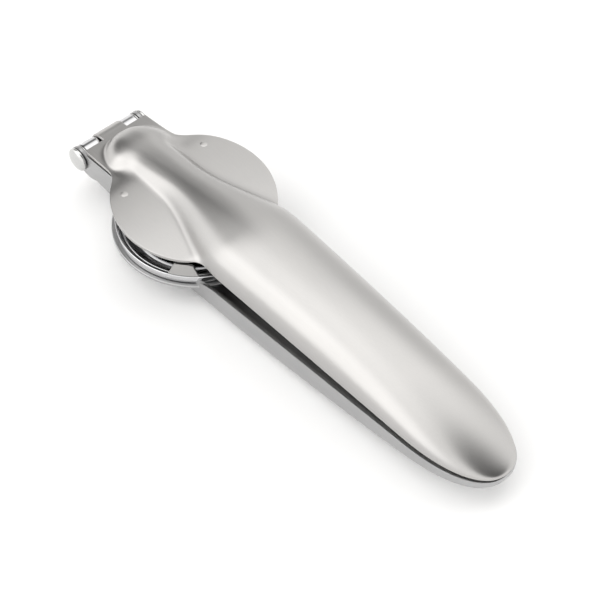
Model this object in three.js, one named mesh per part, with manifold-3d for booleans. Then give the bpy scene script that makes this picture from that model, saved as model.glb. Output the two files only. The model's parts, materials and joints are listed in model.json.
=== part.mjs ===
// Garlic press: two pressed-steel handles on one hinge pin, a basket with a perforated sieve that lies in the
// ring of the lower handle, and a self-aligning plunger that hangs under the round cover of the upper handle.
// Millimetres, +Z up. The model is laid out from the hinge pin: the pin runs along Y through x = 0, z = 0,
// and the handles run towards +X. The finished group is then moved so that its origin is the middle of its
// footprint.
import * as THREE from 'three';
import * as BufferGeometryUtils from 'three/addons/utils/BufferGeometryUtils.js';
import Module from 'manifold-3d';

const wasm = await Module();
wasm.setup();

// Driving dimensions
const SHEET = 1.2;              // thickness of every pressed sheet
const GAP = 0.3;                // clearance between neighbouring pieces

const BOWL_X = 44.25;           // centre of the ring, the basket and its sieve
const RING_RADIUS = 27.9;
const RING_TOP = -5.45;
const RING_HOLE = 22;
const REST_Z = -14.9;           // the surface that the press lies on

const COVER_TILT = 0.062;       // the upper handle falls this much towards its tail, in radians
const COVER_X = 43.1;           // along the upper handle
const COVER_RADIUS = 27.5;
const COVER_TOP = 9.56;         // height of the cover above the pin, square to the cover

const HANDLE_END = 183.4;
const HANDLE_WIDE = 17.7;       // half width beside the cover
const HANDLE_NARROW = 14.9;     // half width where the tail starts to round off
const TAIL_START = 153;
const CREST = 12.6;             // height of the shell above the cover, beside the cover
const COVER_CROWN = 1.3;        // rise of the cover's middle over its edge
const MOUND_START = 4.7;        // where the mound that crosses the cover begins, on the neck
const MOUND_X = 17;             // where its rounded nose is as wide as the neck
const MOUND_WIDE = 12.7;        // its half width there
const MOUND_NARROW = 9;         // its half width over the cover

const RIM_Z = -2.5;             // edge of the lower handle
const TROUGH_START = 60;
const TAIL_BOTTOM = -6;

const PIN_RADIUS = 2.2;
const BORE_RADIUS = PIN_RADIUS + GAP;
const EYE_RADIUS = 4;
const MIDDLE_KNUCKLE = 4.9;     // half width of the middle knuckle
const EYE_END = 11;
const EAR_START = 12;
const EAR_END = EAR_START + SHEET;
const EAR_RADIUS = 4.2;
const HEAD_START = EAR_END + GAP;

const CUP_RADIUS = 20.4;
const CUP_INSIDE = CUP_RADIUS - SHEET;
const FLANGE_RADIUS = 26.7;
const FLANGE_TOP = -2.44;
const FLANGE_BOTTOM = RING_TOP + GAP;
const SIEVE_RADIUS = 17.6;
const SIEVE_THICK = 1.5;
const SIEVE_TOP = REST_Z + SHEET + GAP + SIEVE_THICK;
const HOLE_RADIUS = 0.95;
const HOLE_PITCH = 3.5;
const HOLE_RINGS = 4;

const PLUNGER_RADIUS = 18.1;
const PLUNGER_BOTTOM = -7.2;
const PLUNGER_WALL_TOP = -1;
const PIVOT_X = 43.6;
const PIVOT_Z = -0.1;
const PIVOT_RADIUS = 1.6;
const RIVET_X = 28.4;           // along the upper handle
const RIVET_Y = 17.2;
const RIVET_RADIUS = 1.2;

// Materials
const satin = (color, roughness) => new THREE.MeshStandardMaterial({ color, roughness, metalness: 1 });
const finish = {
  handle: () => satin(0xd2d1cf, 0.34),
  lower: () => satin(0xc2c2c2, 0.38),
  polished: () => satin(0xdcdde0, 0.12),
  sieve: () => satin(0xc8c9cb, 0.25),
  pin: () => satin(0xdedede, 0.2),
  inner: () => satin(0xb8b9bb, 0.3),
};

const smooth = (from, to, value) => THREE.MathUtils.smoothstep(value, from, to);
const mix = THREE.MathUtils.lerp;

// Solids. Every shape below is a closed body that manifold-3d can join and cut.
function solid(geometry) {
  const bare = geometry.clone();
  bare.deleteAttribute('normal');
  bare.deleteAttribute('uv');
  const merged = BufferGeometryUtils.mergeVertices(bare, 1e-4);
  const vertProperties = new Float32Array(merged.attributes.position.array);
  const triVerts = new Uint32Array(merged.index.array);
  return new wasm.Manifold(new wasm.Mesh({ numProp: 3, vertProperties, triVerts }));
}

function piece(name, body, material) {
  const { vertProperties, triVerts } = body.getMesh();
  const geometry = new THREE.BufferGeometry();
  geometry.setAttribute('position', new THREE.BufferAttribute(vertProperties, 3));
  geometry.setIndex(new THREE.BufferAttribute(triVerts, 1));
  geometry.computeVertexNormals();
  const mesh = new THREE.Mesh(geometry, material);
  mesh.name = name;
  return mesh;
}

const vectors = (points) => points.map(([x, y]) => new THREE.Vector2(x, y));

// Revolved about the Y axis through the pin; points are [radius, y].
const turnedAcross = (points, sides = 32) => new THREE.LatheGeometry(vectors(points), sides);

// Revolved about a vertical axis at x; points are [radius, z].
function turnedUp(points, x, sides = 48) {
  return new THREE.LatheGeometry(vectors(points), sides).rotateX(Math.PI / 2).translate(x, 0, 0);
}

function rod(radius, from, to, sides) {
  return turnedAcross([[0, from], [radius, from], [radius, to], [0, to]], sides);
}


function tube(inner, outer, from, to) {
  return turnedAcross([[inner, from], [outer, from], [outer, to], [inner, to], [inner, from]]);
}

function drum(radius, from, to, x, sides) {
  return turnedUp([[0, from], [radius, from], [radius, to], [0, to]], x, sides);
}

// A flat outline in X and Y, given its thickness between two heights.
function plate(points, from, to) {
  const shape = new THREE.Shape(vectors(points));
  return new THREE.ExtrudeGeometry(shape, { depth: to - from, bevelEnabled: false }).translate(0, 0, from);
}

// A side view in X and Z, given its width between two places along Y.
function sideView(points, from, to) {
  const shape = new THREE.Shape(vectors(points));
  const block = new THREE.ExtrudeGeometry(shape, { depth: to - from, bevelEnabled: false });
  return block.rotateX(Math.PI / 2).translate(0, to, 0);
}

const bothSides = (points) => points.concat(points.map(([x, y]) => [x, -y]).reverse());

// A closed skin over rings of points that follow each other along +X, each ring running anticlockwise as seen
// from +X, with a flat fan at each end.
function loft(rings) {
  const count = rings[0].length;
  const positions = rings.flat().flatMap(([x, y, z]) => [x, y, z]);
  const middle = (ring) => ring.reduce((sum, p) => sum.map((value, k) => value + p[k] / count), [0, 0, 0]);
  positions.push(...middle(rings[0]), ...middle(rings.at(-1)));
  const first = rings.length * count;
  const last = first + 1;
  const index = [];
  for (let j = 0; j < count; j += 1) {
    const next = (j + 1) % count;
    for (let i = 0; i + 1 < rings.length; i += 1) {
      const row = i * count;
      index.push(row + j, row + next, row + count + next, row + j, row + count + next, row + count + j);
    }
    const end = (rings.length - 1) * count;
    index.push(first, next, j, last, end + j, end + next);
  }
  const geometry = new THREE.BufferGeometry();
  geometry.setAttribute('position', new THREE.Float32BufferAttribute(positions, 3));
  geometry.setIndex(index);
  return geometry;
}

// Power of a sine or cosine that keeps its sign: it squares up an ellipse.
const squared = (value, exponent) => Math.sign(value) * Math.abs(value) ** exponent;

const roundedEnd = (u, exponent) => (1 - Math.min(Math.max(u, 0), 1) ** exponent) ** (1 / exponent);

// Half width of both handles away from their rounded ends.
const taper = (x) => mix(HANDLE_WIDE, HANDLE_NARROW, (x - 60) / (TAIL_START - 60));

// Places along a handle, closer together at both of its ends.
function places(start, bendStart, bendEnd, end, steps) {
  const list = [];
  const quarter = Math.PI / 2;
  for (let k = 1; k <= 7; k += 1) list.push(mix(bendStart, start, Math.cos(quarter * k / 7) * 0.999));
  for (let k = 1; k < steps; k += 1) list.push(mix(bendStart, bendEnd, k / steps));
  for (let k = 0; k < 9; k += 1) list.push(mix(bendEnd, end, Math.sin(quarter * k / 8) * 0.999));
  return list;
}

// Upper handle
const KNUCKLE_RADIUS = 3.75;
const NECK_TOP = 6;             // height of the neck over the pin
const NECK_SLOPE = 0.116;
const NECK_FRONT = 3.1;         // where the neck's sides end, behind the basket's eyes
const NECK_REAR = 20;           // where the neck's sides meet the cover
const CURL_START = 1.5;         // where the middle of the neck starts to curl down

// Top of the sheet: it climbs gently along the neck, steps up, and is crowned like a parabola over the cover.
function sheetTop(x, y = 0) {
  const spread = ((x - COVER_X) ** 2 + y ** 2) / COVER_RADIUS ** 2;
  const line = mix(NECK_TOP + NECK_SLOPE * x, COVER_TOP, smooth(17.5, 26, x));
  return line + COVER_CROWN * Math.max(1 - spread, 0);
}

// Half width of the neck, then of the round cover.
function sheetWidth(x) {
  if (x >= NECK_REAR) return Math.sqrt(Math.max(COVER_RADIUS ** 2 - (x - COVER_X) ** 2, 0));
  return x < 12 ? mix(13, 13.2, (x - NECK_FRONT) / 9) : mix(13.2, 14.2, smooth(12, NECK_REAR, x));
}

function shellWidth(x) {
  const mound = mix(MOUND_WIDE, MOUND_NARROW, smooth(15.5, 22.5, x));
  return mix(mound, taper(x), smooth(36, 74, x));
}

function shellCrest(x) {
  const fall = 1 - (Math.max(x - 95, 0) / 95) ** 2.4;
  return COVER_TOP + CREST * fall * mix(0.24, 1, smooth(10, 80, x)) - sheetTop(x);
}

// The domed body of the upper handle: inset 0 gives its outside, inset SHEET its hollow, and skirt says how
// far it reaches below the sheet. It is flat-topped over the cover and round along the grip.
function dome(inset, skirt) {
  const start = MOUND_START + inset;
  const end = HANDLE_END - inset;
  return loft(places(start, MOUND_X, TAIL_START, end, 30).map((x) => {
    const nose = (MOUND_X - x) / (MOUND_X - start);
    const tail = (x - TAIL_START) / (end - TAIL_START);
    const width = (shellWidth(x) - inset) * roundedEnd(nose, 2) * roundedEnd(tail, 2.3);
    const height = (shellCrest(x) - inset) * roundedEnd(nose, 2) * roundedEnd(tail, 4);
    const flatness = mix(3.5, 2, smooth(40, 72, x));
    const fullness = mix(1, 0.4, smooth(40, 72, x));
    const edge = sheetTop(x, width);
    const ring = [[x, width, edge - skirt]];
    const steps = 16;
    for (let k = 0; k <= steps; k += 1) {
      const across = Math.cos(Math.PI * k / steps);
      const rise = k === 0 || k === steps ? 0 : (1 - Math.abs(across) ** flatness) ** fullness;
      ring.push([x, width * across, sheetTop(x, width * across) + height * rise]);
    }
    ring.push([x, -width, edge - skirt]);
    return ring;
  }));
}

// The neck and the round cover in one crowned sheet.
function sheet() {
  const stations = [NECK_FRONT, 8, 12, 15, 17.5, 18.7, 19.9];
  for (let k = 0; k <= 20; k += 1) stations.push(mix(20, 66, (k / 20) ** 1.5));
  return loft(stations.map((x) => {
    const top = [];
    for (let k = 0; k <= 8; k += 1) top.push([x, sheetWidth(x) * (1 - k / 4)]);
    const under = top.map(([, y]) => [x, y, sheetTop(x, y) - SHEET]).reverse();
    return top.map(([, y]) => [x, y, sheetTop(x, y)]).concat(under);
  }));
}

// The middle of the neck, which curls down over the front of the pin.
function tongue() {
  const rear = NECK_FRONT + 0.5;
  const under = sheetTop(rear) - SHEET;
  const side = [[2.5, 0], [2.5, under], [rear, under], [rear, sheetTop(rear)]];
  for (let k = 0; k <= 8; k += 1) {
    const angle = Math.PI / 2 * k / 8;
    const reach = (KNUCKLE_RADIUS + CURL_START) * Math.sin(angle);
    side.push([CURL_START - reach, sheetTop(CURL_START) * Math.cos(angle)]);
  }
  return sideView(side, -MIDDLE_KNUCKLE, MIDDLE_KNUCKLE);
}

function rivetHole(y) {
  return solid(drum(RIVET_RADIUS + GAP, 0, 12, RIVET_X, 16).translate(0, y, 0));
}

function upperHandle() {
  const knuckle = solid(rod(KNUCKLE_RADIUS, -MIDDLE_KNUCKLE, MIDDLE_KNUCKLE));
  const body = solid(sheet()).add(solid(tongue())).add(knuckle).add(solid(dome(0, GAP)));
  const open = body.subtract(solid(dome(SHEET, 5))).subtract(solid(rod(BORE_RADIUS, -20, 20)));
  const drilled = open.subtract(rivetHole(RIVET_Y)).subtract(rivetHole(-RIVET_Y));
  return piece('upper_handle', drilled, finish.handle());
}

// Saddle: a cross strip riveted under the cover, with two cheeks that hold the plunger's pivot pin.
const SADDLE_TOP = COVER_TOP - SHEET - GAP;
const SADDLE_THICK = 1.4;
const CHEEK_START = 6;

function pivotBore(radius) {
  return rod(radius, -12, 12, 20).translate(PIVOT_X, 0, PIVOT_Z);
}

function saddle() {
  const outline = bothSides([[26, 20], [34, 20.5], [38, 14], [52, 12]]);
  let body = solid(plate(outline, SADDLE_TOP - SADDLE_THICK, SADDLE_TOP));
  const cheek = [[38, SADDLE_TOP - 0.5], [40.5, -0.5], [42, -1.9], [46, -1.9], [47.5, -0.5],
    [50, SADDLE_TOP - 0.5]];
  for (const from of [-CHEEK_START - SADDLE_THICK, CHEEK_START]) {
    body = body.add(solid(sideView(cheek, from, from + SADDLE_THICK)));
  }
  const leaned = solid(pivotBore(PIVOT_RADIUS + GAP).rotateY(-COVER_TILT));
  body = body.subtract(leaned).subtract(rivetHole(RIVET_Y)).subtract(rivetHole(-RIVET_Y));
  return piece('plunger_saddle', body, finish.inner());
}

// A rivet that ends flush with the cover.
function rivet(name, y) {
  const top = sheetTop(RIVET_X, RIVET_Y);
  const low = SADDLE_TOP - SADDLE_THICK - GAP;
  const profile = [[0, low - 0.7], [1.5, low - 0.7], [1.9, low], [RIVET_RADIUS, low], [RIVET_RADIUS, top],
    [0.7, top + 0.15], [0, top + 0.2]];
  return piece(name, solid(turnedUp(profile, RIVET_X, 20).translate(0, y, 0)), finish.handle());
}

// Pivot pin and plunger
function pivotPin() {
  const end = CHEEK_START + SADDLE_THICK + GAP;
  const half = [[PIVOT_RADIUS, end], [2.5, end], [2.2, end + 0.8], [0, end + 1]];
  const profile = half.map(([r, y]) => [r, -y]).reverse().concat(half);
  return piece('pivot_pin', solid(turnedAcross(profile, 20).translate(PIVOT_X, 0, PIVOT_Z)), finish.pin());
}

const PLUNGER_THICK = 2;
const YOKE_BASE = PLUNGER_BOTTOM + PLUNGER_THICK + GAP;

function plungerPan() {
  const wall = PLUNGER_RADIUS - SHEET;
  const profile = [[0, PLUNGER_BOTTOM], [PLUNGER_RADIUS - 0.8, PLUNGER_BOTTOM],
    [PLUNGER_RADIUS, PLUNGER_BOTTOM + 0.8],
    [PLUNGER_RADIUS, PLUNGER_WALL_TOP], [wall, PLUNGER_WALL_TOP], [wall, PLUNGER_BOTTOM + PLUNGER_THICK],
    [0, PLUNGER_BOTTOM + PLUNGER_THICK]];
  return piece('plunger_pan', solid(turnedUp(profile, PIVOT_X)), finish.polished());
}

function plungerYoke() {
  const reach = CHEEK_START - GAP;
  const foot = [[34, -reach], [53, -reach], [53, reach], [34, reach]];
  let body = solid(plate(foot, YOKE_BASE, YOKE_BASE + SHEET));
  const lug = [[38, YOKE_BASE + 0.5], [49, YOKE_BASE + 0.5], [46.5, 1.2], [44.8, 2.6], [42.4, 2.6],
    [40.7, 1.2]];
  for (const from of [-reach, reach - 1.6]) {
    body = body.add(solid(sideView(lug, from, from + 1.6)));
  }
  return piece('plunger_yoke', body.subtract(solid(pivotBore(PIVOT_RADIUS + GAP))), finish.inner());
}

// Lower handle
function troughBottom(x) {
  const rise = Math.max(x - 90, 0) / (HANDLE_END - 90);
  const lift = Math.max(90 - x, 0) / 22;
  return REST_Z + (TAIL_BOTTOM - REST_Z) * rise ** 1.7 + 1.1 * lift ** 2;
}

const troughRim = (x) => mix(RING_TOP - 0.2, RIM_Z, smooth(62, 73, x));

// The open channel of the lower handle: inset 0 gives its outside and inset SHEET its hollow, and above says
// how far it reaches over the rim.
function trough(inset, above) {
  const end = HANDLE_END - inset;
  return loft(places(TROUGH_START, TROUGH_START + 8, TAIL_START, end, 14).map((x) => {
    const tail = (x - TAIL_START) / (end - TAIL_START);
    const width = (taper(x) - inset) * roundedEnd(tail, 2.5);
    const rim = troughRim(x);
    const depth = (rim - troughBottom(x) - inset) * roundedEnd(tail, 8);
    const ring = above > 0 ? [[x, -width, rim + above]] : [];
    const steps = 16;
    for (let k = 0; k <= steps; k += 1) {
      const angle = Math.PI * (1 + k / steps);
      const across = k === 0 || k === steps ? Math.cos(angle) : squared(Math.cos(angle), 2 / 5.5);
      const down = k === 0 || k === steps ? 0 : squared(Math.sin(angle), 2 / 5.5);
      ring.push([x, width * across, rim + depth * down]);
    }
    if (above > 0) ring.push([x, width, rim + above]);
    return ring;
  }));
}

// One wall of the lower neck, on the +Y side: an ear round the pin, then a side that reaches the ring.
function neckWall() {
  const low = RING_TOP - SHEET;
  const side = [[0, -EAR_RADIUS], [14, low], [23, low], [23, 4.6], [5, 4.1], [0, 4]];
  return solid(rod(EAR_RADIUS, EAR_START, EAR_END)).add(solid(sideView(side, EAR_START, EAR_END)));
}

function lowerHandle() {
  const low = RING_TOP - SHEET;
  const ring = solid(drum(RING_RADIUS, low, RING_TOP, BOWL_X, 64));
  const collar = solid(drum(RING_HOLE + SHEET, -10.6, RING_TOP - 0.5, BOWL_X, 64));
  const floor = solid(plate(bothSides([[13, EAR_START + 0.5], [22, EAR_START + 0.5]]), low, RING_TOP));
  const wall = neckWall();
  const keepFlangeClear = solid(drum(FLANGE_RADIUS + 0.9, RING_TOP, 10, BOWL_X, 64));
  const shell = solid(trough(0, 0));
  const front = solid(drum(RING_HOLE + SHEET, -30, 10, BOWL_X, 64));
  const hollow = solid(trough(SHEET, 4)).subtract(front);
  let body = shell.add(collar).subtract(hollow).add(ring).add(floor).add(wall).add(wall.mirror([0, 1, 0]));
  body = body.subtract(keepFlangeClear).subtract(solid(drum(RING_HOLE, -30, 10, BOWL_X, 64)));
  body = body.subtract(solid(rod(BORE_RADIUS, -20, 20)));
  return piece('lower_handle', body, finish.lower());
}

// Hinge pin, heads and washers
const PIN_END = HEAD_START + 0.8;

function pinHead(name, side) {
  const face = HEAD_START;
  const profile = [[0, PIN_END + GAP], [BORE_RADIUS, PIN_END + GAP], [BORE_RADIUS, face],
    [EAR_RADIUS - 0.2, face], [EAR_RADIUS, face + 0.4], [EAR_RADIUS - 0.3, face + 1], [3, face + 1.55],
    [1.6, face + 1.9], [0, face + 2]];
  const head = turnedAcross(profile, 32);
  if (side < 0) head.rotateX(Math.PI);
  return piece(name, solid(head), finish.pin());
}

function washer(name, side) {
  const from = EYE_END + GAP;
  const disc = tube(BORE_RADIUS, EYE_RADIUS, from, EAR_START - GAP);
  if (side < 0) disc.rotateX(Math.PI);
  return piece(name, solid(disc), finish.pin());
}

// Basket
const CUP_TOP = FLANGE_TOP - 0.5;
const BAND = 1.2;               // width of the flange band

function basketCup() {
  const edge = FLANGE_RADIUS - BAND - GAP;
  const lip = SIEVE_RADIUS - 2;
  const outside = [[edge, CUP_TOP - SHEET], [22.4, CUP_TOP - 1.6], [21, CUP_TOP - 2.4],
    [CUP_RADIUS, CUP_TOP - 3.4],
    [CUP_RADIUS, REST_Z + 3], [CUP_RADIUS - 0.9, REST_Z + 0.9], [CUP_RADIUS - 3, REST_Z], [lip, REST_Z]];
  const inside = [[lip, REST_Z + SHEET], [CUP_INSIDE - 1.2, REST_Z + SHEET], [CUP_INSIDE, REST_Z + 2.6],
    [CUP_INSIDE, CUP_TOP - 3], [20.4, CUP_TOP - 1.2], [22.6, CUP_TOP - 0.3], [edge, CUP_TOP]];
  const profile = outside.reverse().concat(inside.reverse());
  profile.push(profile[0]);
  return piece('basket_cup', solid(turnedUp(profile, BOWL_X)), finish.polished());
}

function basketRim() {
  const inner = FLANGE_RADIUS - BAND;
  const profile = [[inner, FLANGE_BOTTOM], [FLANGE_RADIUS, FLANGE_BOTTOM], [FLANGE_RADIUS, FLANGE_TOP - 0.4],
    [FLANGE_RADIUS - 0.4, FLANGE_TOP], [inner + 0.2, FLANGE_TOP], [inner, FLANGE_TOP - 0.2],
    [inner, FLANGE_BOTTOM]];
  return piece('basket_rim', solid(turnedUp(profile, BOWL_X, 64)), finish.polished());
}

// Hole centres on a hexagonal grid, ring by ring round the middle one.
function holeCentres() {
  const centres = [];
  for (let a = -HOLE_RINGS; a <= HOLE_RINGS; a += 1) {
    for (let b = -HOLE_RINGS; b <= HOLE_RINGS; b += 1) {
      if (Math.abs(a + b) > HOLE_RINGS) continue;
      centres.push([HOLE_PITCH * (a + b / 2), HOLE_PITCH * b * Math.sqrt(0.75)]);
    }
  }
  return centres;
}

function sievePlate() {
  const outline = new THREE.EllipseCurve(0, 0, SIEVE_RADIUS, SIEVE_RADIUS).getPoints(48).slice(0, -1);
  const shape = new THREE.Shape(outline);
  const circle = ([x, y]) => new THREE.Path().absarc(x, y, HOLE_RADIUS, 0, 2 * Math.PI, true);
  shape.holes = holeCentres().map(circle);
  const settings = { depth: SIEVE_THICK, bevelEnabled: false, curveSegments: 4 };
  const disc = new THREE.ExtrudeGeometry(shape, settings);
  return piece('sieve_plate', solid(disc.translate(BOWL_X, 0, SIEVE_TOP - SIEVE_THICK)), finish.sieve());
}

// A thumb tab: a trapezoid that stands on the rim and follows its curve.
function liftTab(name, side) {
  const low = FLANGE_TOP + GAP;
  const high = FLANGE_TOP + 5.6;
  const band = solid(turnedUp([[25.7, low], [26.6, low], [26.6, high], [25.7, high], [25.7, low]], 0, 96));
  const outline = [[-5.1, low - 1], [5.1, low - 1], [4.6, low + 0.4], [3, high - 0.5], [2.4, high],
    [-2.4, high],
    [-3, high - 0.5], [-4.6, low + 0.4]];
  const wedge = solid(sideView(outline, 15, 30));
  const tab = band.intersect(wedge).rotate([0, 0, side * 50 - 90]).translate([BOWL_X, 0, 0]);
  return piece(name, tab, finish.handle());
}

// The basket's hinge strap: two rolled eyes on the pin, joined by a flat strap that reaches the rim.
function hingeStrap() {
  const strapLow = -EYE_RADIUS;
  const arms = bothSides([[0, EYE_END], [14, EYE_END], [20, EYE_END]]);
  const clearRim = solid(drum(FLANGE_RADIUS + GAP, -10, 10, BOWL_X, 64));
  const clearKnuckle = solid(plate([[-6, -5.2], [5.4, -5.2], [5.4, 5.2], [-6, 5.2]], -10, 10));
  let body = solid(plate(arms, strapLow, strapLow + SHEET)).subtract(clearRim);
  body = body.add(solid(rod(EYE_RADIUS, -EYE_END, EYE_END))).subtract(clearKnuckle);
  return piece('hinge_strap', body.subtract(solid(rod(BORE_RADIUS, -20, 20))), finish.polished());
}

// Assembly
const upper = new THREE.Group();
upper.rotation.y = COVER_TILT;
upper.add(upperHandle(), saddle(), rivet('cover_rivet_left', RIVET_Y), rivet('cover_rivet_right', -RIVET_Y));

const press = new THREE.Group();
press.add(
  lowerHandle(),
  piece('hinge_pin', solid(rod(PIN_RADIUS, -PIN_END, PIN_END, 24)), finish.pin()),
  pinHead('pin_head_left', 1), pinHead('pin_head_right', -1),
  washer('hinge_washer_left', 1), washer('hinge_washer_right', -1),
  basketCup(), basketRim(), sievePlate(), hingeStrap(),
  liftTab('lift_tab_left', 1), liftTab('lift_tab_right', -1),
  upper,
  pivotPin(), plungerYoke(), plungerPan(),
);

press.updateMatrixWorld(true);
const box = new THREE.Box3().setFromObject(press, true);
press.position.set(-(box.min.x + box.max.x) / 2, 0, -box.min.z);

export default press;
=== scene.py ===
import json
import math

import bmesh
import bpy
import numpy as np
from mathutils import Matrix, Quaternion, Vector


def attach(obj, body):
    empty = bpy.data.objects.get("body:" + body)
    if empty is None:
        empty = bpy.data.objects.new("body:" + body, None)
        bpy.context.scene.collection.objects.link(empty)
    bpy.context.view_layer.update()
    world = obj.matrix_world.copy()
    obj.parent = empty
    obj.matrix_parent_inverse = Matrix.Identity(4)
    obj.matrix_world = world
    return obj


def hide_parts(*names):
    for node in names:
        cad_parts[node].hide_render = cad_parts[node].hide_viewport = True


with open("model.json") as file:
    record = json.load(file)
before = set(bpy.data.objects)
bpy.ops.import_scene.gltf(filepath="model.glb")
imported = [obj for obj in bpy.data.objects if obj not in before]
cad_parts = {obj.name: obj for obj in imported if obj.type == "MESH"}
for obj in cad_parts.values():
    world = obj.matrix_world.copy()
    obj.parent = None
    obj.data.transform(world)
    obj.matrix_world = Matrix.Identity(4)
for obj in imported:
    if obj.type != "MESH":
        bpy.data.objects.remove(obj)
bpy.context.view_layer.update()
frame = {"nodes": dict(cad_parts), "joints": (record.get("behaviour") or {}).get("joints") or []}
scene = bpy.context.scene

# The press is laid out from its hinge pin, in millimetres: the pin lies along Y through x = 0, z = 0, and the
# handles run towards +X. Every mesh is put in place by adding the pin's own position.
pin = np.array(frame["joints"][0]["pos_m"])


# ---- Camera -----------------------------------------------------------------------------------------------
# A long lens from the left front, well above the press, turned a little so that the press crosses the picture
# from corner to corner.
azimuth = math.radians(44.5)
elevation = math.radians(49.91)
aim = Vector((0.0053, -0.0007, 0.015))
distance = 0.5694
back = Vector((math.sin(azimuth) * math.cos(elevation), -math.cos(azimuth) * math.cos(elevation),
               math.sin(elevation)))
camera = bpy.data.objects.new("camera", bpy.data.cameras.new("camera"))
camera.data.lens = 108
camera.data.sensor_width = 36
camera.location = aim + distance * back
camera.rotation_mode = "QUATERNION"
camera.rotation_quaternion = (-back).to_track_quat("-Z", "Y") @ Quaternion((0, 0, 1), math.radians(2.78))
scene.collection.objects.link(camera)
scene.camera = camera


# ---- Studio -----------------------------------------------------------------------------------------------
# A white sheet under the press and a white tent round it. The tent is brighter above and at the near side,
# and it is open at the hinge end and beyond the tail, so that the steel has something darker to mirror there.
class Wire:
    """An output socket of a shader node. Arithmetic between wires and numbers adds Math nodes, and node()
    adds any other node to the same tree."""

    def __init__(self, socket):
        self.socket = socket

    def node(self, kind, values=(), out=0, **settings):
        """Adds a node: its settings first, then the values or wires of its inputs, by name or number. Returns
        the wire of the output asked for."""
        tree = self.socket.id_data
        made = tree.nodes.new(kind)
        for key, value in settings.items():
            setattr(made, key, value)
        for key, value in dict(values).items():
            if isinstance(value, Wire):
                tree.links.new(value.socket, made.inputs[key])
            else:
                made.inputs[key].default_value = value
        return Wire(made.outputs[out])

    def math(self, operation, *values):
        return self.node("ShaderNodeMath", enumerate(values), operation=operation)

    def __add__(self, other):
        return self.math("ADD", self, other)

    def __sub__(self, other):
        return self.math("SUBTRACT", self, other)

    def __mul__(self, other):
        return self.math("MULTIPLY", self, other)

    def __rsub__(self, other):
        return self.math("SUBTRACT", other, self)

    __radd__ = __add__
    __rmul__ = __mul__

    def into(self, node, name):
        """Feeds this wire to an input of a node."""
        self.socket.id_data.links.new(self.socket, node.inputs[name])


def lobe(ray, toward, start, end):
    """1 where a ray of light comes from one side of the tent and 0 elsewhere: the cosine of the angle between
    the ray and that side, eased from start to end."""
    cosine = ray.node("ShaderNodeVectorMath", {0: ray, 1: Vector(toward).normalized()}, out=1,
                      operation="DOT_PRODUCT")
    values = {"Value": cosine, "From Min": start, "From Max": end}
    return ray.node("ShaderNodeMapRange", values, interpolation_type="SMOOTHSTEP")


tent = bpy.data.worlds.new("tent")
tent.use_nodes = True
ray = Wire(tent.node_tree.nodes.new("ShaderNodeTexCoord").outputs["Generated"])
light = (1.36 + 0.40 * lobe(ray, (-0.20, 0.30, 0.93), 0.75, 0.99)
         + 0.45 * lobe(ray, (-0.42, -0.25, 0.87), 0.82, 0.99)
         + 0.75 * lobe(ray, (-0.30, -0.80, 0.50), 0.78, 0.98)
         - 0.35 * lobe(ray, (-0.45, 0.87, 0.20), 0.70, 0.98)
         - 1.25 * lobe(ray, (-0.78, 0.08, 0.62), 0.87, 0.97)
         - 0.30 * lobe(ray, (-0.53, 0.46, 0.715), 0.95, 0.998)
         - 1.70 * lobe(ray, (0.55, 0.17, 0.82), 0.88, 0.97))
light.math("MAXIMUM", light, 0.03).into(tent.node_tree.nodes["Background"], "Strength")
tent.node_tree.nodes["Background"].inputs["Color"].default_value = (1, 0.995, 0.985, 1)
scene.world = tent
scene.view_settings.view_transform = "Standard"

floor_mesh = bpy.data.meshes.new("floor")
floor_mesh.from_pydata([(-3, -3, 0), (3, -3, 0), (3, 3, 0), (-3, 3, 0)], [], [(0, 1, 2, 3)])
floor = bpy.data.objects.new("floor", floor_mesh)
floor.location.z = -0.0002
floor_paper = bpy.data.materials.new("white_paper")
floor_paper.use_nodes = True
floor_paper.node_tree.nodes["Principled BSDF"].inputs["Base Color"].default_value = (0.96, 0.96, 0.96, 1)
floor_paper.node_tree.nodes["Principled BSDF"].inputs["Roughness"].default_value = 0.9
floor_mesh.materials.append(floor_paper)
scene.collection.objects.link(floor)


# ---- Upper handle -----------------------------------------------------------------------------------------
# One pressing of 1.2 mm stainless sheet, satin finished: a domed grip runs as a ridge over the round cover
# and onto the neck, whose middle is curled round the pin. The cover stands a little above the neck.
sheet = 1.2
cover_tilt = 0.062
cover_x = 43.1
cover_radius = 27.5
cover_top = 9.56
handle_end = 183.4
tail_start = 153.0
neck_front = 3.1
neck_half = 13.0
knuckle_half = 4.9
knuckle_radius = 3.75
crown = 1.3
mound_start = 4.7
mound_wide = 12.7
mound_x = 17.0
mound_narrow = 9.0


def ease(start, end, x):
    """0 before start, 1 after end, and the smooth cubic 3t^2 - 2t^3 between them."""
    t = np.clip((x - start) / (end - start), 0, 1)
    return t * t * (3 - 2 * t)


def mix(a, b, t):
    """a at t = 0, b at t = 1."""
    return a + (b - a) * t


def rounded_end(u, power):
    """Quarter of a superellipse: 1 at u = 0 and 0 at u = 1."""
    return (1 - np.clip(u, 0, 1) ** power) ** (1 / power)


def taper(x):
    """Half width of both handles before their tails are rounded off."""
    return mix(17.7, 14.9, (x - 60) / (tail_start - 60))


def sheet_top(x, y=0):
    """Height of the sheet over the pin: a gentle climb along the neck, a step up, then the cover, which is
    crowned like a parabola."""
    spread = ((x - cover_x) ** 2 + y ** 2) / cover_radius ** 2
    return mix(6 + 0.116 * x, cover_top, ease(17.5, 26, x)) + crown * np.maximum(1 - spread, 0)


def even_columns(sections, count):
    """Each section is a row of points; the points are respaced evenly by their distance along it."""
    steps = np.linalg.norm(np.diff(sections, axis=1), axis=2)
    along = np.concatenate([np.zeros((len(sections), 1)), np.cumsum(steps, axis=1)], axis=1)
    wanted = np.linspace(0, 1, count)
    return np.array([[np.interp(wanted * s[-1], s, row[:, k]) for k in range(3)] for s, row in
                     zip(along, sections)]).transpose(0, 2, 1)


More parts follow.
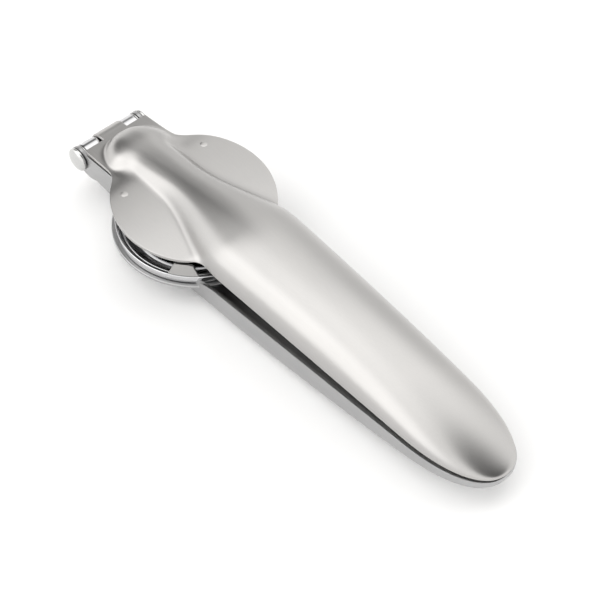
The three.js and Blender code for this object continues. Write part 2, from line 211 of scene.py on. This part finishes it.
def soften(grid, passes):
    """Rounds the bends of a pressing: each inner point moves to the weighted mean of its neighbours."""
    for _ in range(passes):
        grid[1:-1] = (grid[:-2] + 2 * grid[1:-1] + grid[2:]) / 4
        grid[:, 1:-1] = (grid[:, :-2] + 2 * grid[:, 1:-1] + grid[:, 2:]) / 4
    return grid


def surface(name, *grids, keep=None, closed=False):
    """A mesh object from grids of points (rows x columns x 3, millimetres from the pin), with a face between
    each two neighbouring rows and columns. keep picks faces by their middles, and closed turns all faces
    out."""
    points = np.concatenate([grid.reshape(-1, 3) for grid in grids])
    quads, first = [], 0
    for grid in grids:
        index = first + np.arange(grid.shape[0] * grid.shape[1]).reshape(grid.shape[:2])
        corners = [index[:-1, :-1], index[1:, :-1], index[1:, 1:], index[:-1, 1:]]
        quads.append(np.stack(corners, -1).reshape(-1, 4))
        first += index.size
    quads = np.concatenate(quads)
    if keep is not None:
        quads = quads[keep(points[quads].mean(1))]
    used, quads = np.unique(quads, return_inverse=True)
    points, quads = points[used], quads.reshape(-1, 4)
    mesh = bpy.data.meshes.new(name)
    mesh.from_pydata((points / 1000 + pin).tolist(), [], quads.tolist())
    build = bmesh.new()
    build.from_mesh(mesh)
    bmesh.ops.remove_doubles(build, verts=build.verts, dist=2e-6)
    if closed:
        bmesh.ops.recalc_face_normals(build, faces=build.faces)
    build.to_mesh(mesh)
    build.free()
    mesh.shade_smooth()
    made = bpy.data.objects.new(name, mesh)
    scene.collection.objects.link(made)
    return made


def thicken(piece, thickness, edge):
    """Gives a pressed surface its wall, inwards from its outer face, and breaks the sharp cut edges."""
    wall = piece.modifiers.new("wall", "SOLIDIFY")
    wall.thickness = thickness / 1000
    wall.offset = -1
    broken = piece.modifiers.new("edge", "BEVEL")
    broken.width = edge / 1000
    broken.segments = 2
    broken.limit_method = "ANGLE"
    broken.angle_limit = math.radians(50)
    return piece


def finish_piece(piece, material, body, slot, *nodes):
    """Paints a piece, hangs it on its body and hides the CAD nodes that it stands for."""
    piece.data.materials.clear()
    piece.data.materials.append(material)
    if nodes:
        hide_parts(*nodes)
    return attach(piece, body)


def steel(name, light_tone, dark_tone, roughness, grain=(40, 900, 900), depth=0.02, spread=0.06, cloud=0.05):
    """Stainless steel. Lines of noise stretched by grain (turns per metre along X, Y and Z) are the polishing
    marks: they vary the roughness by spread, and with a fine speck the height by depth. A slow noise adds
    handling marks by cloud, and edges that stand out are painted a little brighter in the base colour,
    partly as wear and partly as a painted highlight."""
    made = bpy.data.materials.new(name)
    made.use_nodes = True
    shader = made.node_tree.nodes["Principled BSDF"]
    shader.inputs["Metallic"].default_value = 1
    place = Wire(made.node_tree.nodes.new("ShaderNodeTexCoord").outputs["Object"])
    squeezed = place.node("ShaderNodeMapping", {"Vector": place, "Scale": grain})
    lines = place.node("ShaderNodeTexNoise", {"Vector": squeezed, "Scale": 4, "Detail": 4, "Roughness": 0.6})
    marks = place.node("ShaderNodeTexNoise", {"Vector": place, "Scale": 28, "Detail": 3, "Distortion": 0.8})
    speck = place.node("ShaderNodeTexNoise", {"Vector": place, "Scale": 2600, "Detail": 2})
    # Pointiness picks out the sharp edges, and the tone below paints them brighter: partly wear, partly a
    # painted edge highlight.
    edge_wear_and_highlight = place.node("ShaderNodeNewGeometry", out="Pointiness")
    edge = place.node("ShaderNodeMapRange", {"Value": edge_wear_and_highlight, "From Min": 0.5, "From Max": 0.62})
    tone = 0.5 + 1.2 * (marks - 0.5) + 0.8 * (lines - 0.5) + 0.15 * edge
    colour = place.node("ShaderNodeMix", {"Factor": tone, "A": (*dark_tone, 1), "B": (*light_tone, 1)},
                        out="Result", data_type="RGBA")
    colour.into(shader, "Base Color")
    rough = roughness + spread * (lines - 0.5) + cloud * (marks - 0.5)
    rough.into(shader, "Roughness")
    height = lines + 0.5 * speck
    bump = place.node("ShaderNodeBump", {"Height": height, "Strength": 0.35, "Distance": depth / 1000})
    bump.into(shader, "Normal")
    return made


satin = steel("satin_steel", (0.49, 0.48, 0.47), (0.43, 0.424, 0.418), 0.30)

nose_reach = mound_x - mound_start
stations = np.concatenate([np.linspace(neck_front, mound_start, 4)[:-1],
                           mound_x - nose_reach * np.cos(np.linspace(0, np.pi / 2, 36)),
                           np.arange(mound_x + 0.6, tail_start, 0.7),
                           tail_start + (handle_end - tail_start) * np.sin(np.linspace(0, np.pi / 2, 52))])
nose = (mound_x - stations) / nose_reach
tail = (stations - tail_start) / (handle_end - tail_start)
mound = mix(mound_wide, mound_narrow, ease(15.5, 22.5, stations))
grip = mix(mound, taper(stations), ease(36, 74, stations)) * rounded_end(nose, 2) * rounded_end(tail, 2.3)
fall = 1 - (np.maximum(stations - 95, 0) / 95) ** 2.4
top_line = cover_top + 12.6 * fall * mix(0.24, 1, ease(10, 80, stations))
crest = (top_line - sheet_top(stations)) * rounded_end(nose, 2) * rounded_end(tail, 3.2)
flatness = mix(3.5, 2, ease(40, 72, stations))[:, None]
fullness = mix(1.0, 0.4, ease(40, 72, stations))[:, None]
neck_outline = np.interp(stations, [neck_front, 12, 17, 20], [neck_half, 13.2, 13.6, 14.2])
cover_outline = np.sqrt(np.clip(cover_radius ** 2 - (stations - cover_x) ** 2, 0, None))
outline = np.maximum(np.where(stations < 20, neck_outline, 0), np.maximum(cover_outline, grip))
angle = np.linspace(0, np.pi, 181)
dome_y = grip[:, None] * np.cos(angle)
dome_z = crest[:, None] * (1 - np.abs(np.cos(angle)) ** flatness).clip(0) ** fullness
flat = mix(outline[:, None], grip[:, None], np.linspace(0, 1, 30))
section_y = np.concatenate([flat[:, :-1], dome_y, -flat[:, -2::-1]], axis=1)
section_x = np.broadcast_to(stations[:, None], section_y.shape)
rise = np.concatenate([0 * flat[:, :-1], dome_z, 0 * flat[:, 1:]], axis=1)
section_z = rise + sheet_top(section_x, section_y)
body = even_columns(np.stack([section_x, section_y, section_z], -1), 139)

roll = np.radians(np.linspace(-80, -180, 14))
curl = np.linspace(np.pi / 2, 0, 14)[1:]
front_x = np.concatenate([knuckle_radius * np.cos(roll), 1.5 - (1.5 + knuckle_radius) * np.sin(curl), [2.3]])
front_z = np.concatenate([knuckle_radius * np.sin(roll), sheet_top(1.5) * np.cos(curl), [sheet_top(2.3)]])
across = np.linspace(neck_half, -neck_half, 139)
front = np.stack(np.broadcast_arrays(front_x[:, None], across, front_z[:, None]), -1)
upper = np.concatenate([front, body])
upper[len(front) + 4:] = soften(upper[len(front) + 4:], 14)


def tilted(grid):
    """Turns a grid about the pin by the tilt of the cover, tail down."""
    x, y, z = np.moveaxis(grid, -1, 0)
    c, s = math.cos(cover_tilt), math.sin(cover_tilt)
    return np.stack([c * x + s * z, y, c * z - s * x], -1)


def knuckle_only(middles):
    """Keeps the whole sheet behind the eyes, and only the middle knuckle in front."""
    return (middles[:, 0] > 3.2) | (np.abs(middles[:, 1]) < knuckle_half)


upper_surface = surface("upper_handle_pressing", tilted(upper)[:, ::-1], keep=knuckle_only)
upper_handle = thicken(upper_surface, sheet, 0.22)
finish_piece(upper_handle, satin, "upper_handle", "upper_handle_satin", "upper_handle")


# ---- Lower handle -----------------------------------------------------------------------------------------
# The second pressing: an open trough with a rounded bottom, a ring with a drawn collar that carries the
# basket, and a neck with two side walls whose ears hold the pin.
rest_z = -14.9
bowl_x = 44.25
ring_radius = 27.9
ring_top = -5.45
ring_hole = 22.0
rim_z = -2.5
ear_radius = 4.2
ear_start = 12.0
ear_end = ear_start + sheet

lower_satin = steel("lower_satin_steel", (0.458, 0.458, 0.458), (0.392, 0.392, 0.396), 0.36, cloud=0.07)


def trough():
    """Sections along the handle, each a superellipse open at the top: its width tapers, its bottom rises from
    the resting point to the tail, and its front follows the collar."""
    front = 62
    lowest = 90
    x = np.concatenate([np.linspace(front, tail_start, 130)[:-1],
                        tail_start + (handle_end - tail_start) * np.sin(np.linspace(0, np.pi / 2, 44))])
    tail = (x - tail_start) / (handle_end - tail_start)
    width = taper(x) * rounded_end(tail, 2.5)
    rim = mix(ring_top - 0.2, rim_z, ease(front, 73, x))
    behind = (np.maximum(x - lowest, 0) / (handle_end - lowest)) ** 1.7
    bottom = rest_z + 8.9 * behind + 1.1 * (np.maximum(lowest - x, 0) / 22) ** 2
    depth = (rim - bottom) * rounded_end(tail, 8)
    turn = np.linspace(np.pi, 2 * np.pi, 161)
    squared = lambda v: np.sign(v) * np.abs(v) ** (2 / 5.5)
    y = width[:, None] * squared(np.cos(turn))
    z = rim[:, None] + depth[:, None] * squared(np.sin(turn))
    y[:, [0, -1]] = width[:, None] * [-1, 1]
    z[:, [0, -1]] = rim[:, None]
    start = bowl_x + np.sqrt((ring_hole + sheet / 2) ** 2 - np.clip(y, -18, 18) ** 2)
    x = x[:, None] + (start - front) * (1 - ease(front, 76, x))[:, None]
    return even_columns(np.stack([x, y, z], -1), 97)


def turned(profile, centre=0.0, upright=True, sides=128):
    """A profile of (radius, height) points swept round a circle: about the vertical line at centre, or when
    not upright about a line along Y at centre, where heights run along Y."""
    turn = np.linspace(0, 2 * np.pi, sides + 1)[:, None]
    radius, height = np.array(profile, float).T
    a, b = radius * np.cos(turn), radius * np.sin(turn)
    h = np.broadcast_to(height, a.shape)
    return np.stack([centre + a, b, h] if upright else [centre + a, h, b], -1)


def rounded(corners, radius, loop=True):
    """Rounds each corner of an outline with a parabola that leaves its sides at most radius before it."""
    corners = np.array(corners, float)
    before = np.roll(corners, 1, axis=0) - corners
    after = np.roll(corners, -1, axis=0) - corners
    reach = [np.minimum(radius, np.linalg.norm(side, axis=1) * 0.45) for side in (before, after)]
    first, last = [corners + side / np.linalg.norm(side, axis=1)[:, None] * r[:, None]
                   for side, r in zip((before, after), reach)]
    t = np.linspace(0, 1, 6)[None, :, None]
    curve = (1 - t) ** 2 * first[:, None] + 2 * t * (1 - t) * corners[:, None] + t ** 2 * last[:, None]
    if not loop:
        return np.concatenate([corners[:1], curve[1:-1].reshape(-1, 2), corners[-1:]])
    points = curve.reshape(-1, 2)
    return np.concatenate([points, points[:1]])


def neck_channel():
    """Sections across the lower neck: down one wall, round the bend, over the floor and up the other wall.
    The walls' ends are arcs round the pin, and their lower edges fall in a straight line to the ring."""
    x = np.concatenate([-ear_radius * np.cos(np.linspace(0, np.pi / 2, 20)), np.linspace(0, 22.2, 40)[1:]])
    circle = np.sqrt(np.clip(ear_radius ** 2 - x ** 2, 0, None))
    top = np.where(x < 0, circle, np.maximum(circle, mix(4, 4.6, x / 23)))
    low = np.where(x < 0, -circle, -mix(ear_radius, -(ring_top - sheet), np.clip(x / 14, 0, 1)))
    half = np.full_like(x, ear_end)
    bend = 2.2 * ease(5, 9, x)
    t = np.linspace(0, 1, 12)
    wall = mix(top[:, None], (low + bend)[:, None], t)
    turn = np.linspace(0, np.pi / 2, 9)[1:]
    bend_y = (half - bend)[:, None] + bend[:, None] * np.cos(turn)
    bend_z = (low + bend)[:, None] - bend[:, None] * np.sin(turn)
    floor_y = (half - bend)[:, None] * np.linspace(1, -1, 24)[1:]
    wall_y = half[:, None] + 0 * wall
    y = np.concatenate([wall_y, bend_y, floor_y, -bend_y[:, -2::-1], -wall_y], 1)
    z = np.concatenate([wall, bend_z, low[:, None] + 0 * floor_y, bend_z[:, -2::-1], wall[:, ::-1]], 1)
    return np.stack([np.broadcast_to(x[:, None], y.shape), y, z], -1)


def walls_only(middles):
    """Leaves the floor out in front, so that only the two ears reach the pin."""
    return (middles[:, 0] > 8) | (np.abs(middles[:, 1]) > ear_end - 0.6)


lower_trough = thicken(surface("lower_handle_trough", trough()[:, ::-1]), sheet, 0.22)
finish_piece(lower_trough, lower_satin, "lower_handle", "lower_handle_satin", "lower_handle")
collar = rounded([(ring_hole, -10.6), (ring_hole + sheet, -10.6), (ring_hole + sheet, ring_top - sheet),
                  (ring_radius, ring_top - sheet), (ring_radius, ring_top), (ring_hole, ring_top)], 0.45)
lower_ring = surface("lower_handle_ring", turned(collar, bowl_x, sides=180), closed=True)
finish_piece(lower_ring, lower_satin, "lower_handle", "lower_handle_satin")
lower_neck = thicken(surface("lower_handle_neck", neck_channel(), keep=walls_only), sheet, 0.18)
finish_piece(lower_neck, lower_satin, "lower_handle", "lower_handle_satin")


# ---- Hinge pin, heads and washers -------------------------------------------------------------------------
# A turned steel pin through all the knuckles, closed at both ends by a pressed domed head, with a thin washer
# inside each ear.
bright = steel("turned_steel", (0.617, 0.617, 0.608), (0.533, 0.533, 0.533), 0.24, grain=(900, 60, 900),
               depth=0.01)
pin_radius = 2.2
head_start = ear_end + 0.3
eye_end = 11.0
head_radius = 4.2

shaft = [(0, -head_start - 0.8), (pin_radius, -head_start - 0.8), (pin_radius, head_start + 0.8),
         (0, head_start + 0.8)]
shaft_grid = turned(rounded(shaft, 0.3, loop=False), upright=False, sides=64)
hinge_pin = surface("hinge_pin_shaft", shaft_grid, closed=True)
finish_piece(hinge_pin, bright, "lower_handle", "turned_steel", "hinge_pin")

for side, word in ((1, "left"), (-1, "right")):
    bulge = np.linspace(np.pi / 2, 0, 24)
    dome = np.stack([head_radius * np.sin(bulge), head_start + 0.55 + 1.45 * np.cos(bulge)], 1)
    base = rounded([(pin_radius + 0.3, head_start + 1.1), (pin_radius + 0.3, head_start),
                    (head_radius, head_start), (head_radius, head_start + 0.5)], 0.3, loop=False)
    head = np.concatenate([[(0, head_start + 1.1)], base, dome]) * (1, side)
    cap = surface(f"pin_dome_{word}", turned(head, upright=False, sides=96), closed=True)
    finish_piece(cap, bright, "lower_handle", "turned_steel", f"pin_head_{word}")
    ring = rounded([(pin_radius + 0.3, eye_end + 0.3), (4.0, eye_end + 0.3), (4.0, ear_start - 0.3),
                    (pin_radius + 0.3, ear_start - 0.3)], 0.15)
    washer = surface(f"thrust_washer_{word}", turned(ring * (1, side), upright=False, sides=96), closed=True)
    finish_piece(washer, bright, "lower_handle", "turned_steel", f"hinge_washer_{word}")


# ---- Basket -----------------------------------------------------------------------------------------------
# A deep-drawn, mirror-polished cup with a funnel mouth, a flat band round its edge, and a strap whose end is
# rolled into the two eyes beside the middle knuckle. It lies in the ring and swings out with its thumb tabs.
mirror = steel("polished_steel", (0.617, 0.617, 0.625), (0.55, 0.55, 0.558), 0.11, grain=(120, 120, 700),
               depth=0.006, spread=0.05, cloud=0.05)
flange_radius = 26.7
flange_top = -2.44
flange_bottom = ring_top + 0.3
band = 1.2
cup_radius = 20.4
cup_inside = cup_radius - sheet
cup_top = flange_top - 0.5
sieve_radius = 17.6

edge_radius = flange_radius - band - 0.3
lip = sieve_radius - 2
cup = rounded([(edge_radius, cup_top - sheet), (22.4, cup_top - 1.6), (21, cup_top - 2.4),
               (cup_radius, cup_top - 3.4), (cup_radius, rest_z + 2.2), (cup_radius - 2.2, rest_z),
               (lip, rest_z), (lip, rest_z + sheet), (cup_inside - 1.4, rest_z + sheet),
               (cup_inside, rest_z + 2.6), (cup_inside, cup_top - 3), (20.4, cup_top - 1.2),
               (22.6, cup_top - 0.3), (edge_radius, cup_top)], 1.2)
basket_cup = surface("basket_cup_drawn", turned(cup, bowl_x, sides=180), closed=True)
finish_piece(basket_cup, mirror, "basket", "polished_steel", "basket_cup")

inner = flange_radius - band
rim = rounded([(inner, flange_bottom), (flange_radius, flange_bottom), (flange_radius, flange_top),
               (inner, flange_top)], 0.45)
basket_rim = surface("basket_band", turned(rim, bowl_x, sides=180), closed=True)
finish_piece(basket_rim, mirror, "basket", "polished_steel", "basket_rim")


def strap():
    """A side view carried across Y: flat under the eyes, then once round the pin. The far end follows the
    band."""
    roll = np.radians(np.linspace(-90, -400, 60))
    x = np.concatenate([np.linspace(19, 0.4, 24), 4 * np.cos(roll)])
    z = np.concatenate([np.full(24, -4.0), 4 * np.sin(roll)])
    y = np.linspace(-eye_end, eye_end, 53)
    end = bowl_x - np.sqrt((flange_radius + 0.3) ** 2 - y ** 2)
    far = mix(x[:, None], end, ease(6, 19, x)[:, None])
    return np.stack(np.broadcast_arrays(far, y, z[:, None]), -1)


def eyes_only(middles):
    """Leaves room for the middle knuckle."""
    return (middles[:, 0] > 5.4) | (np.abs(middles[:, 1]) > 5.2)


hinge_strap = thicken(surface("basket_strap", strap(), keep=eyes_only), sheet, 0.15)
finish_piece(hinge_strap, mirror, "basket", "polished_steel", "hinge_strap")


def thumb_tab(side):
    """A trapezoid with rounded shoulders wrapped on a cylinder: its half width falls with height, and its
    middle stands 50 degrees from the tail."""
    height = np.linspace(0, 1, 24)
    half = mix(5.1, 3.0, height ** 0.9) * rounded_end((height - 0.82) / 0.22, 2.2)
    across = np.linspace(-1, 1, 31)
    bearing = side * math.radians(50) + half[:, None] * across / 26.6
    z = flange_top + 0.3 + 5.3 * height
    return np.stack([bowl_x + 26.6 * np.cos(bearing), 26.6 * np.sin(bearing),
                     np.broadcast_to(z[:, None], bearing.shape)], -1)


for side, word in ((1, "left"), (-1, "right")):
    tab = thicken(surface(f"thumb_tab_{word}", thumb_tab(side)[:, ::-1]), 0.9, 0.15)
    finish_piece(tab, satin, "basket", "upper_handle_satin", f"lift_tab_{word}")


# ---- Sieve ------------------------------------------------------------------------------------------------
# A punched disc that lies on the lip of the cup, with round holes on a hexagonal grid and broken edges.
sieve_thick = 1.5
sieve_low = rest_z + sheet + 0.3
hole_radius = 0.95
pitch = 3.5
punched = steel("punched_steel", (0.667, 0.667, 0.675), (0.567, 0.567, 0.575), 0.28, grain=(700, 60, 700),
                depth=0.012)

a, b = np.meshgrid(np.arange(-4, 5), np.arange(-4, 5))
inside = np.abs(a + b) <= 4
centres = np.stack([pitch * (a + b / 2), pitch * b * math.sqrt(0.75)], -1)[inside]
turn = np.linspace(0, 2 * np.pi, 24, endpoint=False)
holes = centres[:, None] + hole_radius * np.stack([np.cos(turn), np.sin(turn)], -1)
turn = np.linspace(0, 2 * np.pi, 144, endpoint=False)
rim = sieve_radius * np.stack([np.cos(turn), np.sin(turn)], -1)
outlines = np.concatenate([rim, holes.reshape(-1, 2)])
corners = np.column_stack([outlines + (bowl_x, 0), np.full(len(outlines), sieve_low + sieve_thick)])
of_rim = np.arange(len(rim))
of_holes = len(rim) + np.arange(holes.size // 2).reshape(-1, 24)
rim_edges = np.stack([of_rim, np.roll(of_rim, -1)], -1)
hole_edges = np.stack([of_holes, np.roll(of_holes, -1, axis=1)], -1).reshape(-1, 2)
sieve_mesh = bpy.data.meshes.new("sieve_disc")
sieve_mesh.from_pydata((corners / 1000 + pin).tolist(), np.concatenate([rim_edges, hole_edges]).tolist(), [])
build = bmesh.new()
build.from_mesh(sieve_mesh)
bmesh.ops.triangle_fill(build, edges=build.edges, use_beauty=True, use_dissolve=False, normal=(0, 0, 1))
build.to_mesh(sieve_mesh)
build.free()
sieve = bpy.data.objects.new("sieve_disc", sieve_mesh)
scene.collection.objects.link(sieve)
thicken(sieve, sieve_thick, 0.15)
finish_piece(sieve, punched, "basket", "sieve_steel", "sieve_plate")


# ---- Plunger ----------------------------------------------------------------------------------------------
# A polished pan with a raised wall hangs from a pivot pin between the cheeks of a saddle, which two rivets
# hold under the cover. A yoke is spot-welded in the pan.
plain = steel("pressed_steel", (0.583, 0.583, 0.592), (0.483, 0.483, 0.492), 0.34, grain=(60, 700, 700))
pivot_x = 43.6
pivot_z = -0.1
plunger_radius = 18.1
plunger_low = -7.2

pan = rounded([(0, plunger_low), (plunger_radius, plunger_low), (plunger_radius, -1),
               (plunger_radius - sheet, -1), (plunger_radius - sheet, plunger_low + 2),
               (0, plunger_low + 2)], 0.9, loop=False)
plunger_pan = surface("plunger_drawn_pan", turned(pan, pivot_x, sides=160), closed=True)
finish_piece(plunger_pan, mirror, "plunger", "polished_steel", "plunger_pan")

for node, body_name in (("plunger_saddle", "upper_handle"), ("plunger_yoke", "plunger")):
    part = frame["nodes"][node]
    part.data.materials.clear()
    part.data.materials.append(plain)

cheek_end = 7.7
stud = [(0, -cheek_end - 1), (2.2, -cheek_end - 0.8), (2.5, -cheek_end), (1.6, -cheek_end), (1.6, cheek_end),
        (2.5, cheek_end), (2.2, cheek_end + 0.8), (0, cheek_end + 1)]
stud_grid = turned(rounded(stud, 0.3, loop=False), pivot_x, upright=False, sides=64) + (0, 0, pivot_z)
pivot = surface("pivot_stud", stud_grid, closed=True)
finish_piece(pivot, bright, "upper_handle", "turned_steel", "pivot_pin")

rivet_x = 28.4
rivet_y = 17.2
for side, word in ((1, "left"), (-1, "right")):
    low = cover_top - 1.5 - 1.4
    bulge = np.linspace(np.pi / 2, 0, 16)
    seat = float(sheet_top(rivet_x, rivet_y))
    dome = np.stack([1.3 * np.sin(bulge), seat + 0.02 + 0.18 * np.cos(bulge)], 1)
    shank = np.array([(0, low - 1), (1.5, low - 1), (1.9, low - 0.3), (1.2, low - 0.3), (1.2, seat - 0.2)])
    profile = np.concatenate([shank, dome])
    rivet = tilted(turned(profile, rivet_x, sides=48) + (0, side * rivet_y, 0))
    rivet_piece = surface(f"cover_stud_{word}", rivet, closed=True)
    finish_piece(rivet_piece, satin, "upper_handle", "upper_handle_satin", f"cover_rivet_{word}")
